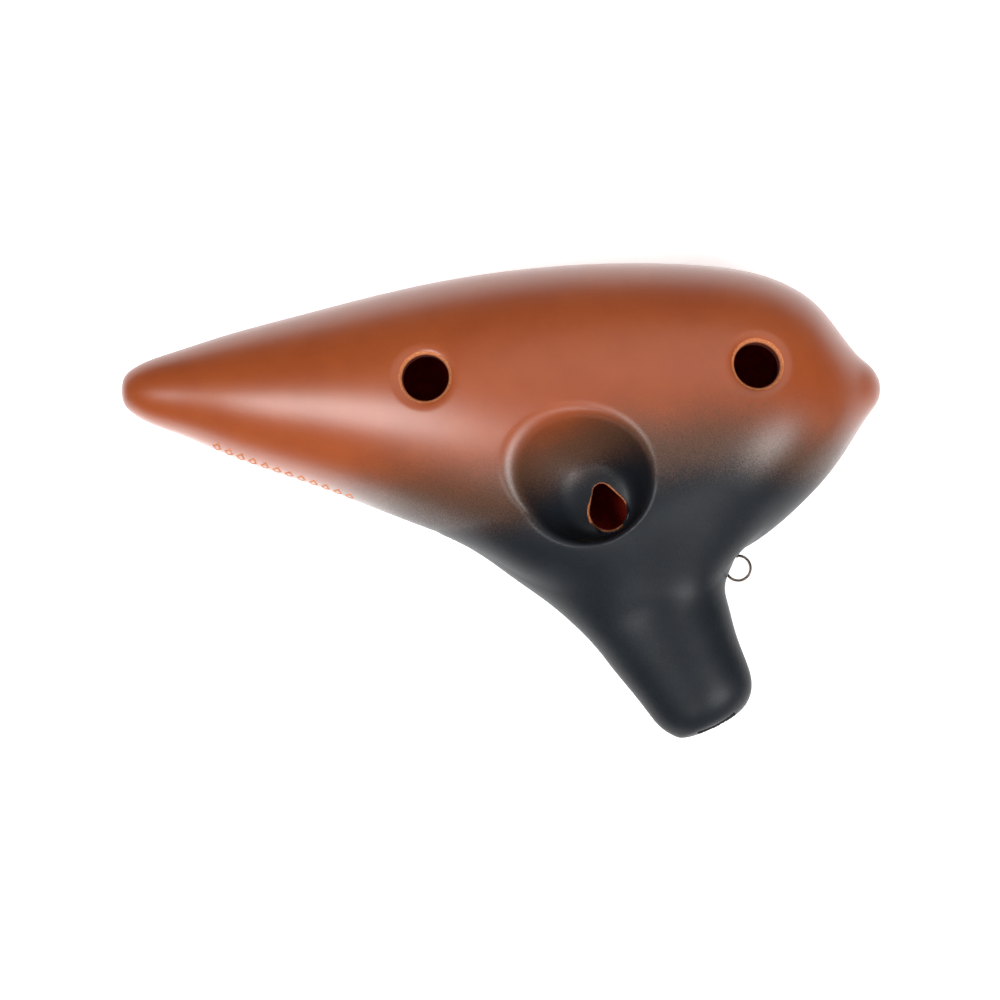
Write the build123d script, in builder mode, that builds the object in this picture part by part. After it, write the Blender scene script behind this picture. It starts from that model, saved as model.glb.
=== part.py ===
from build123d import *
import os
from math import cos, radians, sin

# Alto ocarina in fired clay: two chamber shells, a two-piece mouthpiece and a wire lanyard ring.
#
# Row frame, in millimetres: +X from the long tail to the blunt end, +Y away from the mouthpiece,
# +Z out of the thumb-hole side.  The origin is under the middle of the bounding box, on the
# surface that the instrument lies on, finger-hole side down.

# ---- driving dimensions --------------------------------------------------------------------
PARTING_Z = 22.5  # height of the plane where the two shells meet
WALL = 4.6  # fired wall of the chamber

# Chamber sections across X: (x, lowest y, highest y, half depth)
CHAMBER = [
    (-85.4, 22.3, 27.5, 2.5),
    (-83.8, 20.2, 29.5, 4.5),
    (-80.0, 17.8, 31.6, 6.6),
    (-72.0, 14.7, 34.3, 9.3),
    (-60.0, 9.6, 38.1, 13.2),
    (-45.0, 4.4, 42.1, 16.9),
    (-28.0, -1.9, 46.5, 20.3),
    (-10.0, -8.6, 50.3, 22.5),
    (10.0, -14.0, 52.9, 23.4),
    (28.0, -15.9, 53.8, 23.5),
    (44.0, -14.8, 53.4, 23.0),
    (58.0, -9.0, 51.4, 21.3),
    (66.0, -2.6, 48.3, 18.8),
    (72.0, 3.4, 43.9, 15.6),
    (77.0, 9.7, 37.7, 11.9),
    (81.0, 16.0, 32.8, 7.9),
    (84.3, 20.8, 29.8, 4.4),
    (85.6, 23.0, 27.6, 2.2),
]
TIP_REACH = 0.5  # from an end section to the tip
SMALLEST_SECTION = 2.0  # half depth below which a section of the cavity is left out

# Mouthpiece: a frame whose distance runs from the blowing slot towards the window
STEM_TURN = radians(27.0)  # between the stem and -Y
SLOT = (48.7, -50.1)  # (x, y) of the middle of the blowing slot
# Stem sections: (distance, half width towards the tail, half width towards the blunt end,
# middle above the parting plane, half depth)
STEM = [
    (-0.9, 5.4, 4.4, -0.5, 3.2),
    (-0.3, 7.6, 6.8, -0.4, 4.5),
    (1.2, 9.6, 9.0, 0.0, 5.8),
    (4.0, 11.4, 11.2, 0.5, 7.0),
    (9.0, 12.7, 12.4, 0.8, 8.1),
    (16.0, 14.1, 13.2, 0.9, 9.2),
    (23.0, 15.6, 14.7, 0.9, 10.2),
    (27.5, 16.5, 16.6, 0.8, 10.9),
    (31.0, 17.5, 20.6, 0.6, 11.6),
    (35.0, 18.9, 24.0, 0.4, 12.8),
    (42.0, 21.9, 25.0, 0.0, 15.2),
    (50.0, 26.1, 25.0, 0.0, 17.2),
    (58.0, 30.3, 24.0, 0.0, 17.4),
    (66.0, 35.6, 22.0, 0.0, 16.0),
]

# Windway: a flat duct from the slot to the window
WINDWAY_WIDTHS = (9.4, 8.2)  # at the slot and at the window
WINDWAY_HEIGHTS = (1.9, 1.3)
WINDWAY_MIDDLES = (2.3, 6.9)  # above the parting plane
WINDWAY_LENGTH = 49.3
WINDWAY_OVERRUN = 3.0  # how far the cut runs past each end
WINDWAY_FLOOR = 1.8  # clay left round the windway where it nears the cavity

# Voicing: a bowl-shaped scoop pressed into the thumb side, with the window at its bottom.
# Each ellipse is (x, y, x radius, y radius); the heights are above the parting plane.
SCOOP_BOTTOM = (24.2, -1.8, 5.0, 5.8)
SCOOP_MOUTH = (17.6, 4.6, 16.2, 14.4)
SCOOP_HEIGHTS = (7.4, 22.0)
SCOOP_BOWL = 0.6  # how it widens with height: 1 is a cone, less is a bowl
SCOOP_STEPS = (0, 0.08, 0.25, 0.55, 1, 1.7)  # shares of its height with a section; the last is clear
SCOOP_WALL = 3.2  # clay left beside the scoop
LABIUM_THICKNESS = 1.2  # clay left under the scoop, which the window cuts through
WINDOW_DROP = 6.0  # depth of the window's cut below the scoop's bottom
WINDOW_CIRCLES = [((24.3, -2.4), 4.2), ((22.8, 1.9), 2.0)]  # ((x, y), radius), hulled

# Tone holes: (x, y, diameter); the thumbs' are on the +Z side and the fingers' on the -Z side
THUMB_HOLES = [(-16.9, 27.8, 10.4), (57.6, 30.7, 10.4)]
FINGER_HOLES = [
    (-4.0, 32.0, 9.2),  # right hand: index, middle, ring, little, then the sub-hole
    (-28.5, 28.5, 9.2),
    (-45.5, 26.0, 8.4),
    (-61.0, 22.5, 6.6),
    (-21.5, 39.0, 4.8),
    (27.0, 34.5, 9.0),  # left hand: index, middle, ring, little, then the sub-hole
    (44.0, 33.0, 9.0),
    (61.5, 20.8, 8.4),
    (69.0, 10.5, 5.8),
    (43.5, 43.8, 4.6),
]
RIM_BEVEL = 0.6  # where a tone hole meets the skin
HOLE_REACH = 9.0  # how far a hole's cut runs inwards from the skin

# Lanyard ring, in the parting plane at the inner corner of the stem
RING_CENTRE = (53.8, -15.25)
RING_RADIUS = 2.8  # to the middle of the wire
WIRE_RADIUS = 0.3
TUNNEL_RADIUS = 0.55  # bore of the tunnel that the ring threads

# ---- frames --------------------------------------------------------------------------------
PARTING = Plane.XY.offset(PARTING_Z)
BLOW = Vector(-sin(STEM_TURN), cos(STEM_TURN), 0)  # along the breath, seen from above
ACROSS = Vector(cos(STEM_TURN), sin(STEM_TURN), 0)


def stem_point(distance, across, height):
    """A point of the mouthpiece; height is above the parting plane."""
    return Vector(*SLOT, PARTING_Z + height) + BLOW * distance + ACROSS * across


def stem_plane(distance, across, height):
    """A plane across the stem: its x runs across, its y up, and its normal towards the slot."""
    return Plane(stem_point(distance, across, height), x_dir=ACROSS, z_dir=BLOW * -1)


# ---- solids that shape the pieces ----------------------------------------------------------
def chamber_solid(inset):
    """The chamber's skin as a solid, moved inwards by inset."""
    kept = [section for section in CHAMBER if inset == 0 or section[3] - inset >= SMALLEST_SECTION]
    sections = []
    for x, low, high, depth in kept:
        with BuildSketch(Plane.YZ.offset(x)) as section:
            with Locations(((high + low) / 2, PARTING_Z)):
                Ellipse((high - low) / 2 - inset, depth - inset)
        sections.append(section.sketch)
    ends = []
    for (x, low, high, _), outwards in ((kept[0], -1), (kept[-1], 1)):
        reach = TIP_REACH + inset / 3
        ends.append(Vertex(x + outwards * reach, (low + high) / 2, PARTING_Z))
    with BuildPart() as chamber:
        loft([ends[0], *sections, ends[1]])
    return chamber.part


def stem_solid():
    """The whole mouthpiece, reaching into the chamber, before it is cut to fit."""
    with BuildPart() as stem:
        for distance, tailward, bluntward, middle, depth in STEM:
            with BuildSketch(stem_plane(distance, (bluntward - tailward) / 2, middle)):
                Ellipse((tailward + bluntward) / 2, depth)
        loft()
    return stem.part


def scoop_solid(grow, deepen):
    """The bowl-shaped scoop, wider by grow all round and deeper by deepen."""
    low, high = SCOOP_HEIGHTS
    with BuildPart() as scoop:
        for share in SCOOP_STEPS:
            widening = share**SCOOP_BOWL
            x, y, rx, ry = [a + (b - a) * widening for a, b in zip(SCOOP_BOTTOM, SCOOP_MOUTH)]
            with BuildSketch(PARTING.offset(low + (high - low) * share - deepen)):
                with Locations((x, y)):
                    Ellipse(rx + grow, ry + grow)
        loft()
    return scoop.part


def windway_solid(grow, overrun):
    """The duct from the slot to the window, thicker by grow all round and longer by overrun."""
    with BuildPart() as windway:
        for distance in (-overrun, WINDWAY_LENGTH + overrun):
            width, height, middle = windway_size(distance)
            with BuildSketch(stem_plane(distance, 0, middle)):
                Rectangle(width + 2 * grow, height + 2 * grow)
        loft()
    return windway.part


def windway_size(distance):
    """The duct's width, its height and its middle's height above the parting plane."""
    share = distance / WINDWAY_LENGTH
    ends = (WINDWAY_WIDTHS, WINDWAY_HEIGHTS, WINDWAY_MIDDLES)
    return [slot + (window - slot) * share for slot, window in ends]


def skin_plane(x, y, side):
    """The plane that touches the chamber's skin over or under (x, y), its normal outwards."""
    hits = outer.faces()[0].find_intersection_points(Axis((x, y, PARTING_Z), (0, 0, side)))
    point, normal = max(hits, key=lambda hit: side * (hit[0].Z - PARTING_Z))
    return Plane(point, z_dir=normal if normal.Z * side > 0 else normal * -1)


def bore_tone_holes(holes, side):
    """Cut tone holes into the shell being built, square to its skin, and bevel their rims."""
    for x, y, diameter in holes:
        plane = skin_plane(x, y, side)
        with BuildSketch(plane.offset(HOLE_REACH / 2)) as circle:
            Circle(diameter / 2)
        extrude(circle.sketch, amount=-1.5 * HOLE_REACH, mode=Mode.SUBTRACT)
        rims = edges(Select.LAST).sort_by_distance(plane.origin)
        chamfer(rims[0], RIM_BEVEL)


outer = chamber_solid(0)
inner = chamber_solid(WALL)
scoop = scoop_solid(0, 0)
windway = windway_solid(0, WINDWAY_OVERRUN)

# The air space: clay is left round the scoop and round the end of the windway
with BuildPart() as cavity:
    add(inner)
    add(scoop_solid(SCOOP_WALL, LABIUM_THICKNESS), mode=Mode.SUBTRACT)
    add(windway_solid(WINDWAY_FLOOR, 0), mode=Mode.SUBTRACT)

# The window: an egg-shaped cut, blunt at the windway's end, narrow at the labium
with BuildPart() as window:
    with BuildSketch(PARTING.offset(SCOOP_HEIGHTS[0] - WINDOW_DROP)):
        for (x, y), radius in WINDOW_CIRCLES:
            with Locations((x, y)):
                Circle(radius)
        make_hull()
    extrude(amount=2 * WINDOW_DROP)

# ---- back shell: thumb holes, scoop and window ---------------------------------------------
with BuildPart() as back_shell:
    add(outer)
    split(bisect_by=PARTING, keep=Keep.TOP)
    add(cavity.part, mode=Mode.SUBTRACT)
    for cut in (scoop, window.part, windway):
        add(cut, mode=Mode.SUBTRACT)
    bore_tone_holes(THUMB_HOLES, 1)
back_shell.part.label = "back_shell"

# ---- front shell: finger holes and a flat to rest on ---------------------------------------
with BuildPart() as front_shell:
    add(outer)
    split(bisect_by=PARTING, keep=Keep.BOTTOM)
    add(cavity.part, mode=Mode.SUBTRACT)
    bore_tone_holes(FINGER_HOLES, -1)
    split(bisect_by=Plane.XY, keep=Keep.TOP)
front_shell.part.label = "front_shell"

# ---- mouthpiece: the floor holds the windway as an open channel and the roof closes it ------
roof_start = stem_point(0, 0, WINDWAY_MIDDLES[0] + WINDWAY_HEIGHTS[0] / 2)
roof_end = stem_point(WINDWAY_LENGTH, 0, WINDWAY_MIDDLES[1] + WINDWAY_HEIGHTS[1] / 2)
ROOF = Plane(roof_start, x_dir=ACROSS, z_dir=ACROSS.cross(roof_end - roof_start))

with BuildPart() as mouthpiece_roof:
    add(stem_solid())
    add(outer, mode=Mode.SUBTRACT)
    split(bisect_by=ROOF, keep=Keep.TOP)
mouthpiece_roof.part.label = "mouthpiece_roof"

with BuildPart() as mouthpiece_floor:
    add(stem_solid())
    add(outer, mode=Mode.SUBTRACT)
    split(bisect_by=ROOF, keep=Keep.BOTTOM)
    add(windway, mode=Mode.SUBTRACT)
    with Locations((*RING_CENTRE, PARTING_Z)):
        Torus(RING_RADIUS, TUNNEL_RADIUS, mode=Mode.SUBTRACT)
mouthpiece_floor.part.label = "mouthpiece_floor"

# ---- lanyard ring: a closed ring of round wire, threaded through the mouthpiece's floor ------
with BuildPart() as lanyard_ring:
    with Locations((*RING_CENTRE, PARTING_Z)):
        Torus(RING_RADIUS, WIRE_RADIUS)
lanyard_ring.part.label = "lanyard_ring"

os.makedirs("parts", exist_ok=True)
for piece in (back_shell, front_shell, mouthpiece_roof, mouthpiece_floor, lanyard_ring):
    export_step(piece.part, f"parts/{piece.part.label}.step")
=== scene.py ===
from math import cos, pi, radians, sin

import bpy
import numpy as np
import openvdb
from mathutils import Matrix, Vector


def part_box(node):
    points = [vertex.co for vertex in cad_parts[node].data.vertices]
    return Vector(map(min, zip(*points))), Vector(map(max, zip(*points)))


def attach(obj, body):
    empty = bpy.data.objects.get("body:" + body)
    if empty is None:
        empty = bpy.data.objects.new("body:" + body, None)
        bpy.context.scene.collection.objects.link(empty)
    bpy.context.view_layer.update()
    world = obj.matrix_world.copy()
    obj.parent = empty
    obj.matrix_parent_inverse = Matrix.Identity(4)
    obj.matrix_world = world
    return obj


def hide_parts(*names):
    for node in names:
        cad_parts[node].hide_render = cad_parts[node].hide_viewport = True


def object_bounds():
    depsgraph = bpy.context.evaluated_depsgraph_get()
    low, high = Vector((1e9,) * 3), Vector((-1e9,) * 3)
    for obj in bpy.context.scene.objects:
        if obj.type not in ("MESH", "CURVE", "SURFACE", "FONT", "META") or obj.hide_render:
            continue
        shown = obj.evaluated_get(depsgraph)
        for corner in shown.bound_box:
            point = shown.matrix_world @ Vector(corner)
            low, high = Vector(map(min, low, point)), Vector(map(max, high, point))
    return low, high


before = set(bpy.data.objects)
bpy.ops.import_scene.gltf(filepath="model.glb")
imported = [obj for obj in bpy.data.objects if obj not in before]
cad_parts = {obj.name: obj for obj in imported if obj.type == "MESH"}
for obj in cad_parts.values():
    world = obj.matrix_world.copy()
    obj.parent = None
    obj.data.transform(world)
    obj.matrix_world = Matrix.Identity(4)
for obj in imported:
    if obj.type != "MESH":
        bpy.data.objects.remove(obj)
CAD_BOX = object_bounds()

# Shapes are in millimetres until a mesh is made.  +X runs from the tail to the blunt end, +Y away
# from the mouthpiece, and +Z out of the thumb-hole side.
MM = 0.001
PARTING_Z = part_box("front_shell")[1][2] / MM
VOXEL = 0.4
GRID_MARGIN = 1.2

# Chamber: (x, lowest y, highest y, half depth)
CHAMBER = [
    (-85.9, 24.9, 24.9, 0.0),
    (-85.4, 22.3, 27.5, 2.5),
    (-83.8, 20.2, 29.5, 4.5),
    (-80.0, 17.8, 31.6, 6.6),
    (-72.0, 14.7, 34.3, 9.3),
    (-60.0, 9.6, 38.1, 13.2),
    (-45.0, 4.4, 42.1, 16.9),
    (-28.0, -1.9, 46.5, 20.3),
    (-10.0, -8.6, 50.3, 22.5),
    (10.0, -14.0, 52.9, 23.4),
    (28.0, -15.9, 53.8, 23.5),
    (44.0, -14.8, 53.4, 23.0),
    (58.0, -9.0, 51.4, 21.3),
    (66.0, -2.6, 48.3, 18.8),
    (72.0, 3.4, 43.9, 15.6),
    (77.0, 9.7, 37.7, 11.9),
    (81.0, 16.0, 32.8, 7.9),
    (84.3, 20.8, 29.8, 4.4),
    (85.6, 23.0, 27.6, 2.2),
    (86.1, 25.3, 25.3, 0.0),
]
WALL = 4.6

# Mouthpiece: (distance from the slot, half width towards the tail, half width towards the blunt
# end, middle above the parting plane, half depth)
STEM = [
    (-1.1, 0.0, 0.0, -0.5, 0.0),
    (-0.3, 7.0, 6.2, -0.4, 4.2),
    (1.2, 9.6, 9.0, 0.0, 5.8),
    (4.0, 11.4, 11.2, 0.5, 7.0),
    (9.0, 12.7, 12.4, 0.8, 8.1),
    (16.0, 14.1, 13.2, 0.9, 9.2),
    (23.0, 15.6, 14.7, 0.9, 10.2),
    (27.5, 16.5, 16.6, 0.8, 10.9),
    (31.0, 17.5, 20.6, 0.6, 11.6),
    (35.0, 18.9, 24.0, 0.4, 12.8),
    (42.0, 21.9, 25.0, 0.0, 15.2),
    (50.0, 26.1, 25.0, 0.0, 17.2),
    (58.0, 30.3, 24.0, 0.0, 17.4),
    (66.0, 35.6, 22.0, 0.0, 16.0),
]
STEM_TURN = radians(27.0)
SLOT = (48.7, -50.1)
WINDWAY_LENGTH = 49.3
WINDWAY = ((9.4, 1.9, 2.3), (8.2, 1.3, 6.9))  # width, height, middle: at the slot, at the window

# Scoop: centre x, centre y, x radius and y radius, at its bottom and at its mouth
SCOOP_HEIGHTS = (7.4, 22.0)
SCOOP_ELLIPSES = ((24.2, -1.8, 5.0, 5.8), (17.6, 4.6, 16.2, 14.4))
SCOOP_BOWL = 0.6
WINDOW_CIRCLES = (((24.3, -2.4), 4.2), ((22.8, 1.9), 2.0))

THUMB_HOLES = [(-16.9, 27.8, 10.4), (57.6, 30.7, 10.4)]
FINGER_HOLES = [
    (-4.0, 32.0, 9.2), (-28.5, 28.5, 9.2), (-45.5, 26.0, 8.4), (-61.0, 22.5, 6.6), (-21.5, 39.0, 4.8),
    (27.0, 34.5, 9.0), (44.0, 33.0, 9.0), (61.5, 20.8, 8.4), (69.0, 10.5, 5.8), (43.5, 43.8, 4.6),
]

DISH_WIDTH = 3.0  # the shallow dish that a finger rubs round each tone hole
DISH_DEPTH = 0.4
HOLE_REACH = 6.0  # how far out from a tone hole it is worked out

# Fillet where the mouthpiece meets the chamber.  It is narrow at the parting plane, so that the
# outline stays, and wide above and below.  It fades out far along the mouthpiece.
FILLET_LEAST = 1.2
FILLET_EXTRA = 9.0
FILLET_RISE = 7.0  # height over which it widens
FILLET_END = 66.0  # distance from the slot
FILLET_FADE = 18.0

# How wide the edges are rounded.  The scoop's rim is rounder towards the tail and away from the
# mouthpiece: SCOOP_RIM_EXTRA comes in across a leaning band with its middle by the scoop's mouth.
SCOOP_RIM = 1.7
SCOOP_RIM_EXTRA = 1.0
SCOOP_RIM_MIDDLE = (17.0, 4.0)
SCOOP_RIM_LEAN = (0.8, 0.9)
SCOOP_RIM_BAND = 28.0
SCOOP_FLOOR_EDGE = 2.5
HOLE_RIM = 1.4
DUCT_RIM = 0.5  # the windway and the window

# Clay left between the cavity and the scoop, and between the cavity and the windway, and how wide
# the edges of that clay are rounded
SCOOP_WALL, SCOOP_WALL_EDGE = 3.2, 1.0
WINDWAY_WALL, WINDWAY_WALL_EDGE = 1.8, 0.8

WINDOW_REACH = 5.0  # how far the window's column goes above and below the scoop's bottom
DUCT_OVERRUN = 3.0  # how far the windway is cut past its own end, so that it opens into the window

# Engraved band on the flank near the tail: its ends, and its height above the parting plane
BAND = ((-65.0, 13.4), (-33.0, 0.6))
BAND_MIDDLE = 4.2
BAND_HALF = 2.6
BAND_PITCH = 2.9
BAND_FILL = 0.42  # half a mark's width, as a share of the pitch
BAND_LAST_Y = 20.0  # keeps the marks off the far flank

RING_RADIUS = 2.8
WIRE_RADIUS = 0.3
TUNNEL_RADIUS = 0.75  # wider than the CAD's 0.55, because a mesh of voxels is coarser than the CAD

# Smoke: (x, y) where grey takes over from orange, and how hollows take on more of the grey, partly as smoke
# and partly as painted shade
BOUNDARY = [
    (-86.0, -22.0), (-50.0, -8.0), (-34.0, -1.5), (-23.0, 1.5), (0.0, 2.0), (9.0, 4.0),
    (18.0, 8.0), (29.0, 13.0), (38.0, 13.5), (52.0, 15.0), (72.0, 11.0), (86.0, 12.0),
]
HOLLOW_SMOKE_AND_SHADE = 5.5
HOLLOW_DEPTH = 1.5

# Clay is bare from BARE_DEPTH under the skin.  Closer than SLOT_GLAZE to the windway it is glazed
# down to SLOT_GLAZE_DEPTH, so that the slot has no bright edge.
BARE_DEPTH = 0.5
SLOT_GLAZE = 0.9
SLOT_GLAZE_DEPTH = 3.0

# A thin smear of bare clay round the window, where x + SMEAR_LEAN * y is below SMEAR_END
SMEAR_WIDTH = 2.0
SMEAR_LEAN = 1.6
SMEAR_END = 21.5
SMEAR_FADE = 3.0
SMEAR_DEPTH = 0.13
SMEAR_LOWEST = 5.0

# Colours, linear.  A pair is the two ends of a mottle.
ORANGE = ((0.285, 0.054, 0.01, 1), (0.315, 0.063, 0.012, 1))
SPECKLE = (0.19, 0.035, 0.009, 1)
BROWN = (0.075, 0.034, 0.019, 1)
SLATE = ((0.0068, 0.0088, 0.012, 1), (0.0095, 0.012, 0.016, 1))
SCRAPED_CLAY = ((0.4, 0.12, 0.045, 1), (0.62, 0.24, 0.11, 1))
# Painted shade darkens the bare clay down the bores of the holes, and painted light brightens the chamber's
# inner wall.
BORE_SHADE = (0.07, 0.012, 0.006, 1)
LIT_INNER_CLAY = (0.45, 0.03, 0.012, 1)
WIRE = ((0.05, 0.04, 0.034, 1), (0.17, 0.13, 0.1, 1))
PAPER = ((0.86, 0.86, 0.86, 1), (0.9, 0.9, 0.9, 1))
# Painted shade: the paper turns grey far from the middle.
FAR_PAPER_SHADE = (0.2, 0.2, 0.2, 1)
WHITE = (1, 1, 1, 1)

# Studio, in metres
GLOW_FADE = (0.14, 0.5)  # the paper's painted glow and its colour fade from bright to painted grey shade between these distances from the middle
TAIL_GLOW = (-0.075, -0.055, 0.0)  # a pool of light on the paper beside the tail
CAMERA_PLACE = (-0.00011, 0.00017)
CAMERA_DISTANCE = 1.5  # above the parting plane
VIEW_WIDTH = 0.22632  # what the picture spans at the parting plane
SENSOR = 36  # in millimetres, like the lens


# ---- implicit shapes -------------------------------------------------------------------------
def spline(x, xs, ys):
    """A natural cubic spline through (xs, ys), at x."""
    xs, ys = np.asarray(xs, float), np.asarray(ys, float)
    gaps = np.diff(xs)
    n = len(xs)
    system = np.eye(n)
    right = np.zeros(n)
    for i in range(1, n - 1):
        system[i, i - 1:i + 2] = gaps[i - 1], 2 * (gaps[i - 1] + gaps[i]), gaps[i]
        right[i] = 6 * ((ys[i + 1] - ys[i]) / gaps[i] - (ys[i] - ys[i - 1]) / gaps[i - 1])
    bend = np.linalg.solve(system, right)
    i = np.clip(np.searchsorted(xs, x) - 1, 0, n - 2)
    a, b = (xs[i + 1] - x) / gaps[i], (x - xs[i]) / gaps[i]
    cubic = (a ** 3 - a) * bend[i] + (b ** 3 - b) * bend[i + 1]
    return a * ys[i] + b * ys[i + 1] + cubic * gaps[i] ** 2 / 6


def tube(s, u, v, rows, power):
    """Distance, to first order, from a tube of ellipses along s.

    Each row is (s, middle u, middle v, radius in u, radius in v).  The radii are splined to a
    power, 2 where the tube has a round end.
    """
    rows = np.array(rows, float)
    along = np.linspace(rows[0, 0], rows[-1, 0], 3000)
    middles = [spline(along, rows[:, 0], rows[:, k]) for k in (1, 2)]
    radii = [np.maximum(spline(along, rows[:, 0], rows[:, k] ** power), 0.01) for k in (3, 4)]
    tables = middles + [r ** (-2 / power) for r in radii]
    slopes = [np.gradient(t, along) for t in tables]
    mu, mv, iu, iv = [np.interp(s, along, t).astype(np.float32) for t in tables]
    dmu, dmv, diu, div = [np.interp(s, along, t).astype(np.float32) for t in slopes]
    du, dv = u - mu, v - mv
    q = np.sqrt(np.maximum(iu * du * du + iv * dv * dv, 1e-4))
    gs = (diu * du * du - 2 * iu * du * dmu + div * dv * dv - 2 * iv * dv * dmv) / 2
    across = (iu * du) ** 2 + (iv * dv) ** 2
    slope = np.sqrt(np.minimum(gs * gs, 4 * across) + across) / q
    d = (q - 1) / np.maximum(slope, 1e-3)
    return np.maximum(d, np.maximum(rows[0, 0] - s, s - rows[-1, 0])).astype(np.float32)


def join(a, b, k):
    """The union of two fields with a fillet k wide."""
    h = np.maximum(k - np.abs(a - b), 0) / k
    return np.minimum(a, b) - h * h * k / 4


def cut(a, b, k):
    """Field a without b, with its edge rounded k wide."""
    return -join(-a, b, k)


def chamber_field(x, y, z):
    rows = [(s, (low + high) / 2, 0, (high - low) / 2, depth) for s, low, high, depth in CHAMBER]
    return tube(x, y, z - PARTING_Z, rows, 2)


def stem_frame(x, y):
    """Distance from the slot along the stem, and distance across it."""
    dx, dy = x - SLOT[0], y - SLOT[1]
    return dy * cos(STEM_TURN) - dx * sin(STEM_TURN), dx * cos(STEM_TURN) + dy * sin(STEM_TURN)


def stem_field(x, y, z):
    rows = [
        (s, (blunt - tail) / 2, middle, (blunt + tail) / 2, depth)
        for s, tail, blunt, middle, depth in STEM
    ]
    along, across = stem_frame(x, y)
    return tube(along, across, z - PARTING_Z, rows, 2)


def scoop_field(x, y, z):
    """A leaning elliptical bowl, closed at its bottom."""
    v = z - PARTING_Z
    rise = SCOOP_HEIGHTS[1] - SCOOP_HEIGHTS[0]
    share = np.maximum((v - SCOOP_HEIGHTS[0]) / rise, 0.004)
    widening = share ** SCOOP_BOWL
    cx, cy, rx, ry = [low + (high - low) * widening for low, high in zip(*SCOOP_ELLIPSES)]
    rate = SCOOP_BOWL * widening / share / rise
    dcx, dcy, drx, dry = [(high - low) * rate for low, high in zip(*SCOOP_ELLIPSES)]
    px, py = (x - cx) / rx, (y - cy) / ry
    q = np.sqrt(px * px + py * py + 1e-4)
    gz = -(px * (dcx + px * drx) / rx + py * (dcy + py * dry) / ry) / q
    slope = np.sqrt((px / rx) ** 2 + (py / ry) ** 2 + (gz / np.maximum(q, 1)) ** 2) / q
    return -join(-(q - 1) / slope, v - SCOOP_HEIGHTS[0], SCOOP_FLOOR_EDGE)


def window_field(x, y):
    """An egg-shaped column: two circles and their hull."""
    (ax, ay), ra = WINDOW_CIRCLES[0]
    (bx, by), rb = WINDOW_CIRCLES[1]
    length = np.hypot(bx - ax, by - ay)
    ux, uy = (bx - ax) / length, (by - ay) / length
    along = (x - ax) * ux + (y - ay) * uy
    aside = np.abs((x - ax) * uy - (y - ay) * ux)
    lean = (ra - rb) / length
    rest = np.sqrt(1 - lean * lean)
    k = along * rest - aside * lean
    round_end = np.hypot(along, aside) - ra
    narrow_end = np.hypot(along - length, aside) - rb
    flank = aside * rest + along * lean - ra
    return np.where(k < 0, round_end, np.where(k > rest * length, narrow_end, flank))


def windway_field(x, y, z):
    along, across = stem_frame(x, y)
    share = along / WINDWAY_LENGTH
    width, height, middle = [a + (b - a) * share for a, b in zip(*WINDWAY)]
    sides = np.maximum(np.abs(across) - width / 2, np.abs(z - PARTING_Z - middle) - height / 2)
    return sides, along


def skin_frame(x, y, side):
    """The point of the chamber's skin over or under (x, y), and the outward normal there."""
    v = np.linspace(4, 30, 521)
    z = PARTING_Z + side * v
    d = chamber_field(np.float64(x), np.float64(y), z)
    depth = np.interp(0, d, v)
    point = np.array([x, y, PARTING_Z + side * depth])
    normal = np.array([
        float(chamber_field(*(point + step)) - chamber_field(*(point - step)))
        for step in np.eye(3) * 0.05
    ])
    return point, normal / np.linalg.norm(normal)


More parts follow.
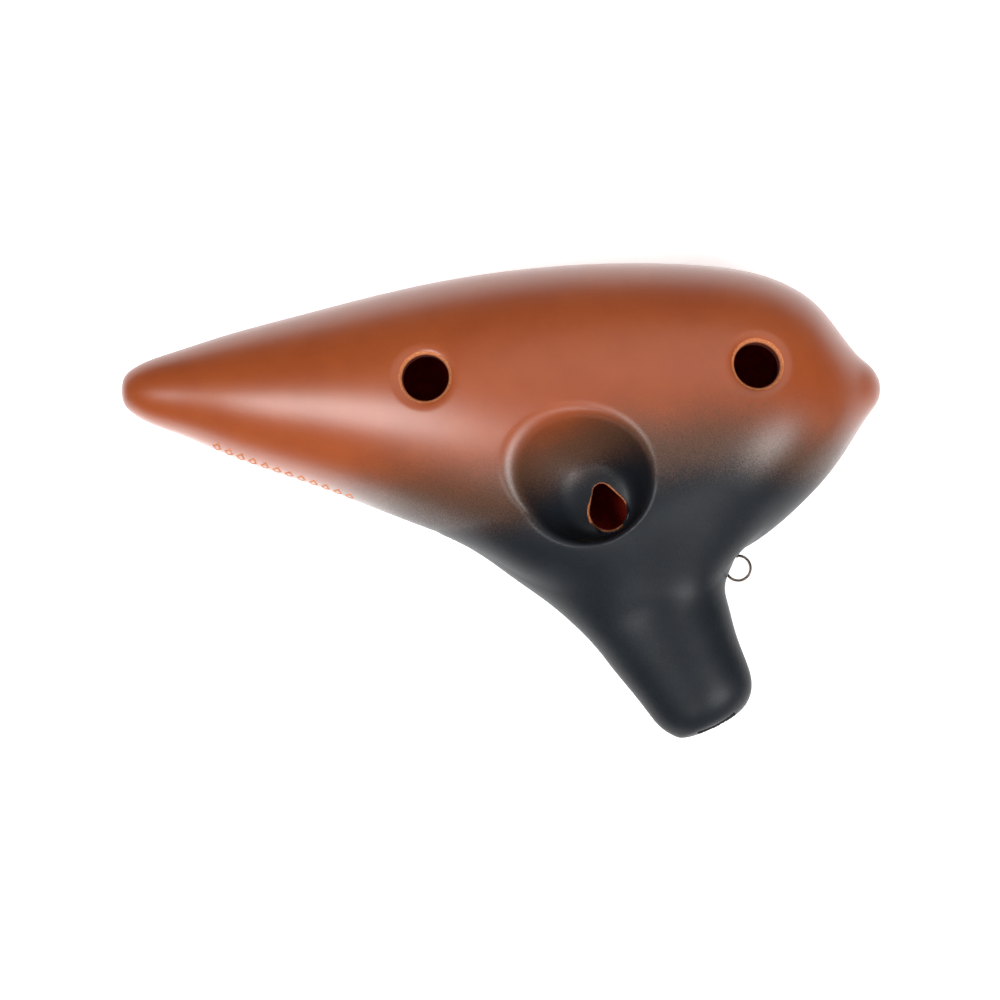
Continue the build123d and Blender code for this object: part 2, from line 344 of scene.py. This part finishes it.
# ---- the clay ----------------------------------------------------------------------------------
def clay_fields():
    """The grid's origin, the clay's field, and the fields that tell its regions apart."""
    low, high = [np.array(corner) / MM for corner in CAD_BOX]
    low, high = low - GRID_MARGIN, high + GRID_MARGIN
    counts = np.ceil((high - low) / VOXEL).astype(int) + 1
    x, y, z = [(low[k] + VOXEL * np.arange(counts[k])).astype(np.float32) for k in range(3)]
    x, y, z = x[:, None, None], y[None, :, None], z[None, None, :]
    v = z - PARTING_Z

    chamber = chamber_field(x, y, z)
    stem = stem_field(x, y, z)
    near = np.clip((FILLET_END - stem_frame(x, y)[0]) / FILLET_FADE, 0, 1)
    rise = 1 - np.exp(-(v / FILLET_RISE) ** 2)
    fillet = FILLET_LEAST + FILLET_EXTRA * rise * near * near * (3 - 2 * near)
    body = join(chamber, stem, fillet)

    scoop = scoop_field(x, y, z)
    lean = (y - SCOOP_RIM_MIDDLE[1]) * SCOOP_RIM_LEAN[1]
    lean = SCOOP_RIM_BAND / 2 - (x - SCOOP_RIM_MIDDLE[0]) * SCOOP_RIM_LEAN[0] + lean
    soft = np.clip(lean / SCOOP_RIM_BAND, 0, 1)
    skin = cut(body, scoop, SCOOP_RIM + SCOOP_RIM_EXTRA * soft)
    bores = []
    for side, holes in ((1, THUMB_HOLES), (-1, FINGER_HOLES)):
        for hx, hy, diameter in holes:
            point, normal = skin_frame(hx, hy, side)
            reach = diameter / 2 + HOLE_REACH
            spans = [np.abs(c.ravel() - p) < reach for c, p in ((x, hx), (y, hy), (z, point[2]))]
            part = np.ix_(*spans)
            rx, ry, rz = x[spans[0]] - point[0], y[:, spans[1]] - point[1], z[:, :, spans[2]] - point[2]
            inwards = rx * normal[0] + ry * normal[1] + rz * normal[2]
            square = rx * rx + ry * ry + rz * rz - inwards * inwards
            radial = np.sqrt(np.maximum(square, 0)) - diameter / 2
            share = np.clip(1 - radial / DISH_WIDTH, 0, 1)
            skin[part] += DISH_DEPTH * share * share * (3 - 2 * share)
            bores.append((part, radial))

    sides, along = windway_field(x, y, z)
    cavity = chamber + WALL
    cavity = cut(cavity, scoop - SCOOP_WALL, SCOOP_WALL_EDGE)
    windway = np.maximum(sides - WINDWAY_WALL, along - WINDWAY_LENGTH)
    cavity = cut(cavity, windway, WINDWAY_WALL_EDGE)

    clay = np.maximum(skin, -cavity)
    window = np.maximum(window_field(x, y), np.abs(v - SCOOP_HEIGHTS[0]) - WINDOW_REACH)
    clay = cut(clay, window, DUCT_RIM)
    duct = np.maximum(sides, along - WINDWAY_LENGTH - DUCT_OVERRUN)
    clay = cut(clay, duct, DUCT_RIM)
    for part, radial in bores:
        clay[part] = cut(clay[part], radial, HOLE_RIM)
    ring = ring_centre()
    rx, ry, rz = x - ring[0], y - ring[1], z - ring[2]
    torus = np.hypot(np.hypot(rx, ry) - RING_RADIUS, rz) - TUNNEL_RADIUS
    clay = np.maximum(clay, -torus)
    clay = np.maximum(clay, -z)
    return low, clay.astype(np.float32), {
        "skin": skin, "chamber": chamber, "stem": stem, "body": body, "duct": duct,
    }


def sample(field, low, points):
    """Trilinear values of a field at points."""
    at = (points - low) / VOXEL
    base = np.clip(np.floor(at).astype(int), 0, np.array(field.shape) - 2)
    f = at - base
    total = 0
    for i in (0, 1):
        for j in (0, 1):
            for k in (0, 1):
                weight = abs(1 - i - f[:, 0]) * abs(1 - j - f[:, 1]) * abs(1 - k - f[:, 2])
                total = total + weight * field[base[:, 0] + i, base[:, 1] + j, base[:, 2] + k]
    return total


def ring_centre():
    low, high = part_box("lanyard_ring")
    return [(a + b) / 2 / MM for a, b in zip(low, high)]


def boundary_y(x):
    """Where the smoked grey takes over from the orange, as y against x."""
    xs, ys = zip(*BOUNDARY)
    return np.interp(x, xs, ys)


def clay_meshes(glazed, bare):
    """The clay as one smooth skin, sorted into a mesh for each of the CAD's clay nodes."""
    low, clay, fields = clay_fields()
    grid = openvdb.FloatGrid(3 * VOXEL)
    grid.copyFromArray(np.clip(clay, -3 * VOXEL, 3 * VOXEL))
    points, quads = grid.convertToQuads(isovalue=0.0)
    points = low + np.asarray(points, float) * VOXEL
    quads = np.asarray(quads, int)
    steps = np.eye(3) * VOXEL * 0.5
    normals = np.stack([sample(clay, low, points + s) - sample(clay, low, points - s) for s in steps], 1)
    normals /= np.maximum(np.linalg.norm(normals, axis=1, keepdims=True), 1e-9)
    corners = points[quads]
    facing = np.cross(corners[:, 2] - corners[:, 0], corners[:, 3] - corners[:, 1])
    if np.sum(facing * normals[quads[:, 0]]) < 0:
        quads = quads[:, ::-1]

    depth = -sample(fields["skin"], low, points)
    duct = sample(fields["duct"], low, points)
    depth = np.where((duct < SLOT_GLAZE) & (depth < SLOT_GLAZE_DEPTH), 0.0, depth)
    px, py, pz = points.T
    smear = np.clip(1 - window_field(px, py) / SMEAR_WIDTH, 0, 1)
    smear *= np.clip((SMEAR_END - py * SMEAR_LEAN - px) / SMEAR_FADE, 0, 1)
    depth = np.where(pz > PARTING_Z + SMEAR_LOWEST, depth + SMEAR_DEPTH * smear, depth)
    pressed = np.maximum(-sample(fields["body"], low, points), 0)
    # Hollows below the body's surface go darker towards slate: partly smoke, partly painted shade.
    fade = py - boundary_y(px) - HOLLOW_SMOKE_AND_SHADE * (1 - np.exp(-pressed / HOLLOW_DEPTH))

    middle = points[quads].mean(1)
    chamber, stem = [sample(fields[name], low, middle) for name in ("chamber", "stem")]
    outside = depth[quads].mean(1) < BARE_DEPTH
    in_stem = np.where(outside, stem < chamber, chamber > 0)
    start, end = [centre + height / 2 for _, height, centre in WINDWAY]
    slope = (end - start) / WINDWAY_LENGTH
    roof = start + slope * stem_frame(middle[:, 0], middle[:, 1])[0]
    above = middle[:, 2] - PARTING_Z
    regions = {
        "back_shell": ~in_stem & (above > 0),
        "front_shell": ~in_stem & (above <= 0),
        "mouthpiece_roof": in_stem & (above > roof),
        "mouthpiece_floor": in_stem & (above <= roof),
    }
    for node, chosen in regions.items():
        used, faces = np.unique(quads[chosen], return_inverse=True)
        faces = faces.reshape(-1, 4)
        mesh = bpy.data.meshes.new("clay_" + node)
        mesh.from_pydata((points[used] * MM).tolist(), [], faces.tolist())
        for name, values in (("depth", depth), ("fade", fade)):
            mesh.attributes.new(name, "FLOAT", "POINT").data.foreach_set("value", values[used])
        mesh.polygons.foreach_set("use_smooth", [True] * len(faces))
        mesh.normals_split_custom_set_from_vertices(normals[used].tolist())
        mesh.materials.append(glazed)
        mesh.materials.append(bare)
        inner = depth[quads[chosen]].min(1) > BARE_DEPTH
        mesh.polygons.foreach_set("material_index", inner.astype(int))
        piece = bpy.data.objects.new("clay_" + node, mesh)
        bpy.context.collection.objects.link(piece)
        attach(piece, "ocarina")
        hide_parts(node)


# ---- materials -----------------------------------------------------------------------------------
class Nodes:
    """Short calls for building a node tree."""

    def __init__(self, tree):
        self.tree = tree

    def make(self, kind, inputs=(), **settings):
        node = self.tree.nodes.new(kind)
        for name, value in settings.items():
            setattr(node, name, value)
        for key, value in dict(inputs).items():
            if isinstance(value, bpy.types.NodeSocket):
                self.tree.links.new(value, node.inputs[key])
            else:
                node.inputs[key].default_value = value
        return node

    def math(self, operation, *values, clamp=False):
        return self.make("ShaderNodeMath", enumerate(values), operation=operation, use_clamp=clamp).outputs[0]

    def step(self, value, start, end, low=0.0, high=1.0):
        inputs = {"Value": value, "From Min": start, "From Max": end, "To Min": low, "To Max": high}
        return self.make("ShaderNodeMapRange", inputs, interpolation_type="SMOOTHSTEP").outputs[0]

    def noise(self, place, scale, detail=2.0, roughness=0.5):
        inputs = {"Vector": place, "Scale": scale, "Detail": detail, "Roughness": roughness}
        return self.make("ShaderNodeTexNoise", inputs).outputs[0]

    def mix(self, share, a, b):
        node = self.make("ShaderNodeMix", {0: share, 6: a, 7: b}, data_type="RGBA")
        return node.outputs[2]

    def attribute(self, name):
        return self.make("ShaderNodeAttribute", attribute_name=name).outputs["Fac"]


def new_material(name):
    material = bpy.data.materials.new(name)
    material.use_nodes = True
    nodes = Nodes(material.node_tree)
    shader = material.node_tree.nodes["Principled BSDF"]
    place = nodes.make("ShaderNodeTexCoord").outputs["Object"]
    return material, nodes, shader, place


def bare_clay(nodes, depth, grain):
    """The colour of unglazed clay: pale where it is scraped, painted shade down the bores, and a brighter red
    painted as light on the chamber's inner wall.
    """
    scraped = nodes.mix(nodes.step(grain, 0.4, 0.7), *SCRAPED_CLAY)
    bore = nodes.mix(nodes.step(depth, BARE_DEPTH, 1.3), scraped, BORE_SHADE)
    return nodes.mix(nodes.step(depth, 3.2, 4.4), bore, LIT_INNER_CLAY)


def band_marks(nodes, place):
    """A row of small hollow diamonds along the flank near the tail: 1 on a mark, 0 off it."""
    x, y, z = nodes.make("ShaderNodeSeparateXYZ", {0: place}).outputs
    (ax, ay), (bx, by) = BAND
    length = np.hypot(bx - ax, by - ay)
    along = nodes.math("MULTIPLY", nodes.math("SUBTRACT", x, ax * MM), (bx - ax) / length / MM)
    along = nodes.math("MULTIPLY_ADD", nodes.math("SUBTRACT", y, ay * MM), (by - ay) / length / MM, along)
    up = nodes.math("MULTIPLY_ADD", z, 1 / MM, -PARTING_Z - BAND_MIDDLE)
    cell = nodes.math("FRACT", nodes.math("DIVIDE", along, BAND_PITCH))
    aside = nodes.math("ABSOLUTE", nodes.math("SUBTRACT", cell, 0.5))
    height = nodes.math("ABSOLUTE", up)
    height = nodes.math("DIVIDE", height, BAND_HALF)
    diamond = nodes.math("MULTIPLY_ADD", aside, 1 / BAND_FILL, height)
    mark = nodes.step(diamond, 1.02, 0.9)
    heart = nodes.step(diamond, 0.42, 0.52)
    mark = nodes.math("MULTIPLY", mark, heart)
    middle = nodes.math("ABSOLUTE", nodes.math("SUBTRACT", along, length / 2))
    mark = nodes.math("MULTIPLY", mark, nodes.math("LESS_THAN", middle, length / 2))
    return nodes.math("MULTIPLY", mark, nodes.math("LESS_THAN", y, BAND_LAST_Y * MM))


def clay_material():
    """The glazed skin: orange, brown and slate by the smoke, darker in hollows partly as painted shade, and
    bare where it is scraped.
    """
    material, nodes, shader, place = new_material("smoked_clay")
    fade = nodes.attribute("fade")
    depth = nodes.attribute("depth")

    mottle = nodes.noise(place, 60, 4.0, 0.6)
    spray = nodes.noise(place, 3200, 3.0, 0.7)
    grain = nodes.noise(place, 3600, 2.0, 0.6)
    edge = nodes.math("MULTIPLY_ADD", mottle, 5.0, nodes.math("ADD", fade, -3.5))
    edge = nodes.math("MULTIPLY_ADD", spray, 18.0, nodes.math("ADD", edge, -9.0))
    orange = nodes.step(edge, -20.0, 18.0)

    warm = nodes.mix(nodes.step(mottle, 0.35, 0.65), *ORANGE)
    warm = nodes.mix(nodes.step(spray, 0.54, 0.72, 0.0, 0.35), warm, SPECKLE)
    slate = nodes.mix(nodes.step(mottle, 0.3, 0.7), *SLATE)
    low_half = nodes.mix(nodes.step(orange, 0.08, 0.45), slate, BROWN)
    glaze = nodes.mix(nodes.step(orange, 0.4, 1.03), low_half, warm)

    marks = band_marks(nodes, place)
    scraped = nodes.step(nodes.math("MULTIPLY_ADD", grain, 0.06, depth), 0.12, 0.17)
    scraped = nodes.math("MAXIMUM", scraped, marks)
    colour = nodes.mix(scraped, glaze, bare_clay(nodes, depth, grain))
    nodes.tree.links.new(colour, shader.inputs["Base Color"])

    rough = nodes.math("MULTIPLY_ADD", spray, 0.08, nodes.step(orange, 0.1, 0.6, 0.42, 0.34))
    rough = nodes.math("MULTIPLY_ADD", scraped, 0.35, rough)
    nodes.tree.links.new(rough, shader.inputs["Roughness"])
    shader.inputs["Specular IOR Level"].default_value = 0.12
    gloss = nodes.step(orange, 0.1, 0.75, 0.15, 1.0)
    gloss = nodes.math("MULTIPLY", gloss, nodes.step(scraped, 0.0, 1.0, 1.0, 0.0))
    nodes.tree.links.new(gloss, shader.inputs["Coat Weight"])
    shader.inputs["Coat Roughness"].default_value = 0.35

    peel = nodes.noise(place, 1800, 3.0, 0.6)
    height = nodes.math("MULTIPLY_ADD", peel, 0.6, nodes.math("MULTIPLY", grain, 0.3))
    height = nodes.math("MULTIPLY_ADD", marks, -1.5, height)
    bump = nodes.make("ShaderNodeBump", {"Height": height, "Strength": 0.35, "Distance": 0.0002})
    nodes.tree.links.new(bump.outputs[0], shader.inputs["Normal"])
    return material


def inner_clay_material():
    """The unglazed inside, rough and lumpy."""
    material, nodes, shader, place = new_material("bare_clay")
    grain = nodes.noise(place, 3600, 2.0, 0.6)
    lumps = nodes.noise(place, 500, 4.0, 0.6)
    # The bare clay's colour holds painted shade down the bores and painted light on the chamber's inner wall.
    colour = bare_clay(nodes, nodes.attribute("depth"), grain)
    nodes.tree.links.new(colour, shader.inputs["Base Color"])
    nodes.tree.links.new(nodes.step(grain, 0.3, 0.7, 0.8, 0.95), shader.inputs["Roughness"])
    shader.inputs["Specular IOR Level"].default_value = 0.15
    height = nodes.math("MULTIPLY_ADD", lumps, 1.0, nodes.math("MULTIPLY", grain, 0.4))
    bump = nodes.make("ShaderNodeBump", {"Height": height, "Strength": 0.5, "Distance": 0.0003})
    nodes.tree.links.new(bump.outputs[0], shader.inputs["Normal"])
    return material


def ring_material():
    """Dark metal with a patchy patina."""
    material, nodes, shader, place = new_material("ring_wire")
    patina = nodes.noise(place, 700, 4.0, 0.6)
    colour = nodes.mix(nodes.step(patina, 0.4, 0.65), *WIRE)
    nodes.tree.links.new(colour, shader.inputs["Base Color"])
    nodes.tree.links.new(nodes.step(patina, 0.3, 0.7, 0.3, 0.5), shader.inputs["Roughness"])
    shader.inputs["Metallic"].default_value = 0.9
    return material


# ---- the ring --------------------------------------------------------------------------------------
def ring_piece(material):
    """A closed wire ring with a drop of solder where its ends meet."""
    around, across = 160, 20
    centre = np.array(ring_centre())
    bead_at = radians(97)
    verts = []
    for i in range(around):
        a = 2 * pi * i / around
        off = (a - bead_at + pi) % (2 * pi) - pi
        r = WIRE_RADIUS - 0.01 + 0.008 * sin(5 * a) + 0.14 * np.exp(-(off / 0.09) ** 2)
        for j in range(across):
            b = 2 * pi * j / across
            reach = RING_RADIUS + r * cos(b)
            verts.append((centre + (reach * cos(a), reach * sin(a), r * sin(b))) * MM)
    faces = []
    for i in range(around):
        for j in range(across):
            i2, j2 = (i + 1) % around, (j + 1) % across
            faces.append((i * across + j, i2 * across + j, i2 * across + j2, i * across + j2))
    mesh = bpy.data.meshes.new("ring_wire")
    mesh.from_pydata([tuple(v) for v in verts], [], faces)
    mesh.polygons.foreach_set("use_smooth", [True] * len(faces))
    mesh.materials.append(material)
    piece = bpy.data.objects.new("ring_wire", mesh)
    bpy.context.collection.objects.link(piece)
    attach(piece, "ring")
    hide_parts("lanyard_ring")


# ---- studio ----------------------------------------------------------------------------------------
def studio():
    """White paper that glows as painted light, brightest near the middle with a painted pool of light beside
    the tail and painted grey shade far off, four soft boxes and a camera that looks straight down.
    """
    bpy.ops.mesh.primitive_plane_add(size=6, location=(0, 0, -0.0002))
    floor = bpy.context.object
    floor.name = "floor"
    material, nodes, shader, place = new_material("floor_paper")
    paper = nodes.noise(place, 40, 3.0)
    away = nodes.make("ShaderNodeVectorMath", {0: place}, operation="LENGTH").outputs["Value"]
    colour = nodes.mix(paper, *PAPER)
    # Painted shade: the paper's colour turns grey away from the middle.
    colour = nodes.mix(nodes.step(away, *GLOW_FADE, 0.0, 0.7), colour, FAR_PAPER_SHADE)
    nodes.tree.links.new(colour, shader.inputs["Base Color"])
    shader.inputs["Roughness"].default_value = 0.9
    # Painted light: the paper glows, brightest near the middle and in a pool beside the tail.
    shader.inputs["Emission Color"].default_value = WHITE
    spot = nodes.make("ShaderNodeVectorMath", {0: place, 1: TAIL_GLOW}, operation="SUBTRACT").outputs[0]
    spot = nodes.make("ShaderNodeVectorMath", {0: spot}, operation="LENGTH").outputs["Value"]
    glow = nodes.step(away, *GLOW_FADE, 0.65, 0.05)
    glow = nodes.math("ADD", glow, nodes.step(spot, 0.03, 0.1, 0.9, 0.0))
    nodes.tree.links.new(glow, shader.inputs["Emission Strength"])
    floor.data.materials.append(material)

    world = bpy.data.worlds.new("studio")
    bpy.context.scene.world = world
    world.use_nodes = True
    nodes = Nodes(world.node_tree)
    place = nodes.make("ShaderNodeTexCoord").outputs["Generated"]
    up = nodes.make("ShaderNodeSeparateXYZ", {0: place}).outputs[2]
    background = world.node_tree.nodes["Background"]
    nodes.tree.links.new(nodes.step(up, 0.0, 0.5, 0.1, 0.035), background.inputs["Strength"])
    background.inputs["Color"].default_value = WHITE

    for name, spot, size, power in (
        ("left_box", (-0.44, -0.17, 1.0), (0.45, 0.45), 10.0),
        ("right_box", (0.66, -0.46, 0.74), (0.42, 0.42), 7.5),
        ("front_box", (0.05, -0.75, 0.78), (0.3, 0.3), 2.0),
        ("fill_box", (0.3, 0.6, 1.0), (0.8, 0.8), 3.0),
    ):
        light = bpy.data.lights.new(name, "AREA")
        light.shape = "RECTANGLE"
        light.size, light.size_y = size
        light.energy = power
        lamp = bpy.data.objects.new(name, light)
        bpy.context.collection.objects.link(lamp)
        lamp.location = spot
        lamp.rotation_euler = (-Vector(spot)).to_track_quat("-Z", "Y").to_euler()

    camera = bpy.data.objects.new("camera", bpy.data.cameras.new("camera"))
    bpy.context.collection.objects.link(camera)
    camera.location = (*CAMERA_PLACE, PARTING_Z * MM + CAMERA_DISTANCE)
    camera.data.sensor_width = SENSOR
    camera.data.lens = SENSOR * CAMERA_DISTANCE / VIEW_WIDTH
    camera.data.clip_end = 20
    bpy.context.scene.camera = camera
    bpy.context.scene.view_settings.view_transform = "Standard"


clay_meshes(clay_material(), inner_clay_material())
ring_piece(ring_material())
studio()
